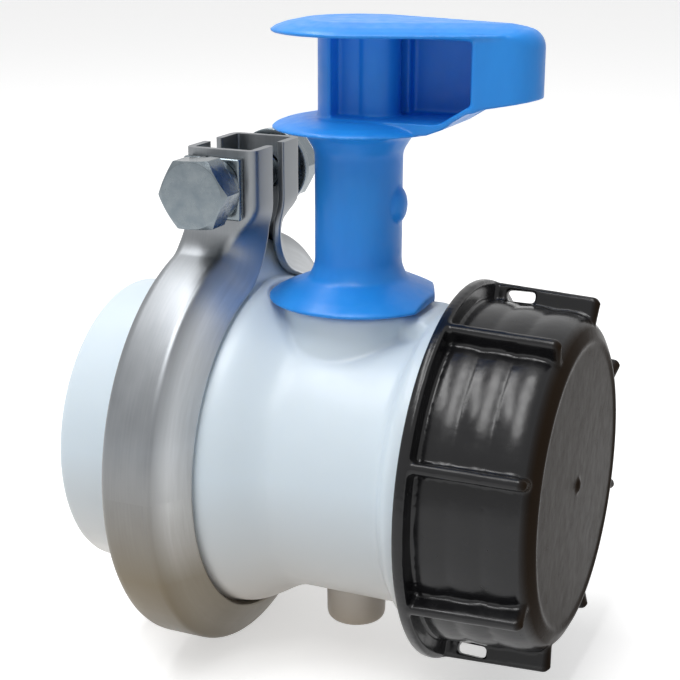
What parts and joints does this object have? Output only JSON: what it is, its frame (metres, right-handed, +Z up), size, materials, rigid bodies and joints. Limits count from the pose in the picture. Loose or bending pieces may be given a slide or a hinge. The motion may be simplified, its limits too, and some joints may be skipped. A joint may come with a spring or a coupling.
{
  "type": "ibc tank valve",
  "caption": "Clamp-on butterfly valve for a bulk liquid tank outlet, with a V-clamp flange joint, a quarter-turn lever handle and a ribbed screw cap on the outlet.",
  "frame": {"origin": "centre of the tank spigot's open end, on the flow axis", "axes": "+X along the flow towards the outlet, +Z up along the stem, +Y across, away from the clamp bolt's head"},
  "size_m": [0.0986, 0.086, 0.1294],
  "materials": {
    "white_polyethylene": "satin natural white moulded polyethylene",
    "blue_plastic": "smooth semi-gloss blue moulding",
    "black_plastic": "glossy black moulding",
    "seal_rubber": "matt black rubber",
    "stainless_steel": "satin stainless steel",
    "zinc_plated_steel": "bright zinc plating"
  },
  "bodies": {
    "body": {"tank_spigot": "white_polyethylene", "flange_gasket": "seal_rubber", "valve_body": "white_polyethylene", "seat_liner": "seal_rubber", "clamp_band": "stainless_steel", "bolt_plate": "zinc_plated_steel", "nut_plate": "zinc_plated_steel", "lock_washer": "zinc_plated_steel"},
    "handle": {"handle": "blue_plastic", "handle_pin": "stainless_steel", "stem": "stainless_steel", "stem_oring_lower": "seal_rubber", "stem_oring_upper": "seal_rubber", "disc": "white_polyethylene", "disc_screw_upper": "stainless_steel", "disc_screw_lower": "stainless_steel"},
    "cap_gasket": {"cap_gasket": "seal_rubber"},
    "cap": {"outlet_cap": "black_plastic"},
    "bolt": {"clamp_bolt": "zinc_plated_steel"},
    "washer": {"nut_washer": "zinc_plated_steel"},
    "nut": {"clamp_nut": "zinc_plated_steel"}
  },
  "joints": [
    {"name": "handle_turn", "type": "hinge", "parent": "body", "child": "handle", "pos_m": [0.052, 0, 0.05], "axis": [0, 0, -1], "range_deg": [0, 90]},
    {"name": "cap_travel", "type": "slide", "parent": "body", "child": "cap_gasket", "axis": [1, 0, 0], "range_m": [0, 0.0151]},
    {"name": "cap_turn", "type": "hinge", "parent": "cap_gasket", "child": "cap", "pos_m": [0.0743, 0, 0], "axis": [1, 0, 0], "range_deg": [0, 900]},
    {"name": "bolt_turn", "type": "hinge", "parent": "body", "child": "bolt", "pos_m": [0.0266, 0, 0.0543], "axis": [0, 1, 0], "continuous": true},
    {"name": "nut_travel", "type": "slide", "parent": "bolt", "child": "washer", "axis": [0, 1, 0], "range_m": [0, 0.0096]},
    {"name": "nut_turn", "type": "hinge", "parent": "washer", "child": "nut", "pos_m": [0.0266, 0.0182, 0.0543], "axis": [0, 1, 0], "range_deg": [0, 2736]}
  ],
  "couplings": [
    {"joint": "cap_travel", "follows": "cap_turn", "m_per_rad": 0.00095493},
    {"joint": "nut_travel", "follows": "nut_turn", "m_per_rad": 0.00019894}
  ]
}
